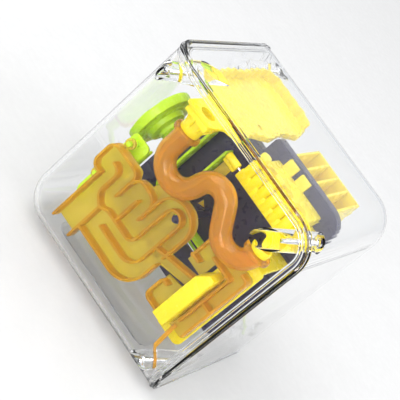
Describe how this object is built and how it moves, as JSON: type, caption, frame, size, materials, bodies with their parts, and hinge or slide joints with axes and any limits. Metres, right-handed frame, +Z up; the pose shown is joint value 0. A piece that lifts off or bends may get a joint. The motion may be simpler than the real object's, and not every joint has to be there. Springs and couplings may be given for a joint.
{
  "type": "cube maze game",
  "caption": "Clear cube case in two screwed corner shells around coloured ball tracks, a winding tube, a stepped bowl, bins and a swinging gate.",
  "frame": {"origin": "middle of the bottom face, where the cube stands", "axes": "+Z up, -Y out of the front face with the winding tube, +X to its right"},
  "size_m": [0.19, 0.19, 0.19],
  "materials": {
    "clear_plastic": "polished clear plastic",
    "amber_plastic": "translucent amber",
    "yellow_plastic": "glossy yellow",
    "green_plastic": "glossy lime green",
    "purple_plastic": "dark indigo",
    "steel": "polished"
  },
  "bodies": {
    "root": {"case_front_shell": "clear_plastic", "case_rear_shell": "clear_plastic", "case_screw_1": "steel", "case_screw_2": "steel", "case_screw_3": "steel", "case_screw_4": "steel", "case_screw_5": "steel", "case_screw_6": "steel", "amber_front_track": "amber_plastic", "amber_side_track": "amber_plastic", "amber_rear_track": "amber_plastic", "amber_s_tube": "amber_plastic", "yellow_inlet_cup": "yellow_plastic", "yellow_top_deck": "yellow_plastic", "yellow_steps": "yellow_plastic", "yellow_bins": "yellow_plastic", "yellow_side_frame": "yellow_plastic", "green_bowl": "green_plastic", "green_chute": "green_plastic", "green_rail_frame": "green_plastic", "green_finish_tray": "green_plastic", "purple_core_wall": "purple_plastic", "purple_fin_left": "purple_plastic", "purple_fin_right": "purple_plastic", "gate_pin": "steel"},
    "gate": {"gate_barrel": "yellow_plastic", "gate_flap": "amber_plastic"},
    "ball": {"steel_ball": "steel"}
  },
  "joints": [
    {"name": "gate_swing", "type": "hinge", "parent": "root", "child": "gate", "pos_m": [-0.0075, -0.046, 0.1525], "axis": [1, 0, 0], "range_deg": [-30, 30]},
    {"name": "ball_roll", "type": "slide", "parent": "root", "child": "ball", "axis": [1, 0, 0], "range_m": [-0.042, 0.042]}
  ]
}
